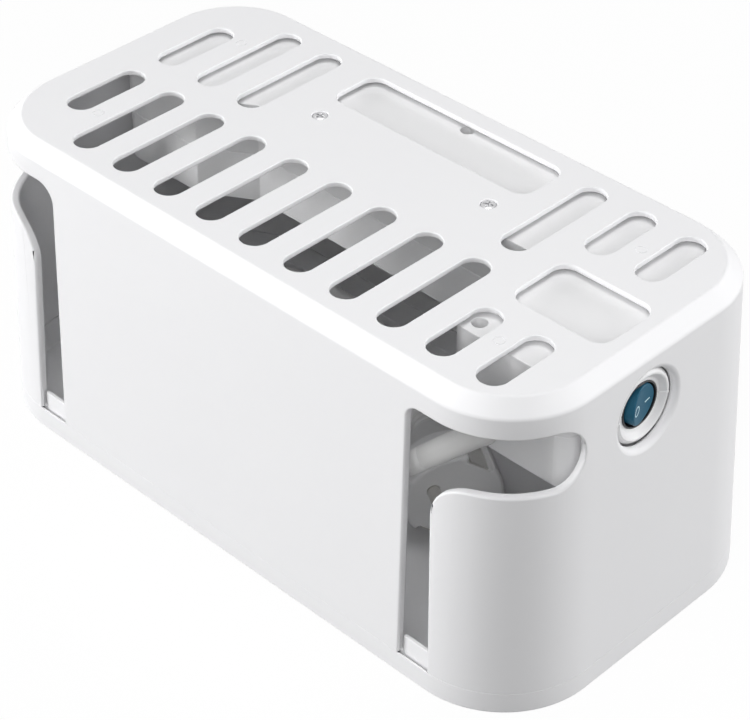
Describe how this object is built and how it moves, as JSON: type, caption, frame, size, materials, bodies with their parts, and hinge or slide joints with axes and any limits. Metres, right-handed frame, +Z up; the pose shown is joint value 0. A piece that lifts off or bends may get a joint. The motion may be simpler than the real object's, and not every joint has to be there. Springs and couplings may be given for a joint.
{
  "type": "cable management box",
  "caption": "Vented cable box over a base cover, with a power strip, rocker switch and mains cord inside.",
  "frame": {"origin": "middle of the foot, on the surface the box stands on", "axes": "+X along the length towards the switch, +Y towards the back, +Z up"},
  "size_m": [0.28, 0.1436, 0.1272],
  "materials": {
    "box_white": "satin",
    "strip_white": "satin",
    "screw_steel": "satin",
    "switch_black": "gloss",
    "rocker_teal": "gloss",
    "contact_brass": "satin",
    "wire_brown": "satin",
    "wire_blue": "satin",
    "wire_green": "satin",
    "cord_white": "satin",
    "tie_black": "matte",
    "plug_white": "satin",
    "plug_metal": "polished"
  },
  "bodies": {
    "base": {"base_cover": "box_white"},
    "hood": {"vented_shell": "box_white", "strip_base": "strip_white", "strip_cover": "strip_white", "fixing_screws": "screw_steel", "strip_screws": "screw_steel", "switch_body": "switch_black", "switch_terminals": "contact_brass", "live_bar": "contact_brass", "neutral_bar": "contact_brass", "earth_bar": "contact_brass", "live_wires": "wire_brown", "neutral_wire": "wire_blue", "earth_wire": "wire_green", "cord_gland": "cord_white", "cord_lead": "cord_white", "cord_coil": "cord_white", "coil_tie": "tie_black", "cord_tail": "cord_white", "plug_body": "plug_white", "plug_pins": "plug_metal", "plug_earth_clips": "plug_metal", "plug_boot": "cord_white"},
    "rocker": {"switch_rocker": "rocker_teal"},
    "contact": {"switch_contact": "contact_brass"}
  },
  "joints": [
    {"name": "hood_lift", "type": "slide", "parent": "base", "child": "hood", "axis": [0, 0, 1], "range_m": [0, 0.15]},
    {"name": "rocker_hinge", "type": "hinge", "parent": "hood", "child": "rocker", "pos_m": [0.13048, -0.0036, 0.1015], "axis": [0, 0, 1], "range_deg": [-26, 0]},
    {"name": "contact_hinge", "type": "hinge", "parent": "hood", "child": "contact", "pos_m": [0.12088, -0.0036, 0.1015], "axis": [0, 0, 1], "range_deg": [0, 12]}
  ],
  "couplings": [
    {"joint": "contact_hinge", "follows": "rocker_hinge", "ratio": -0.46}
  ]
}
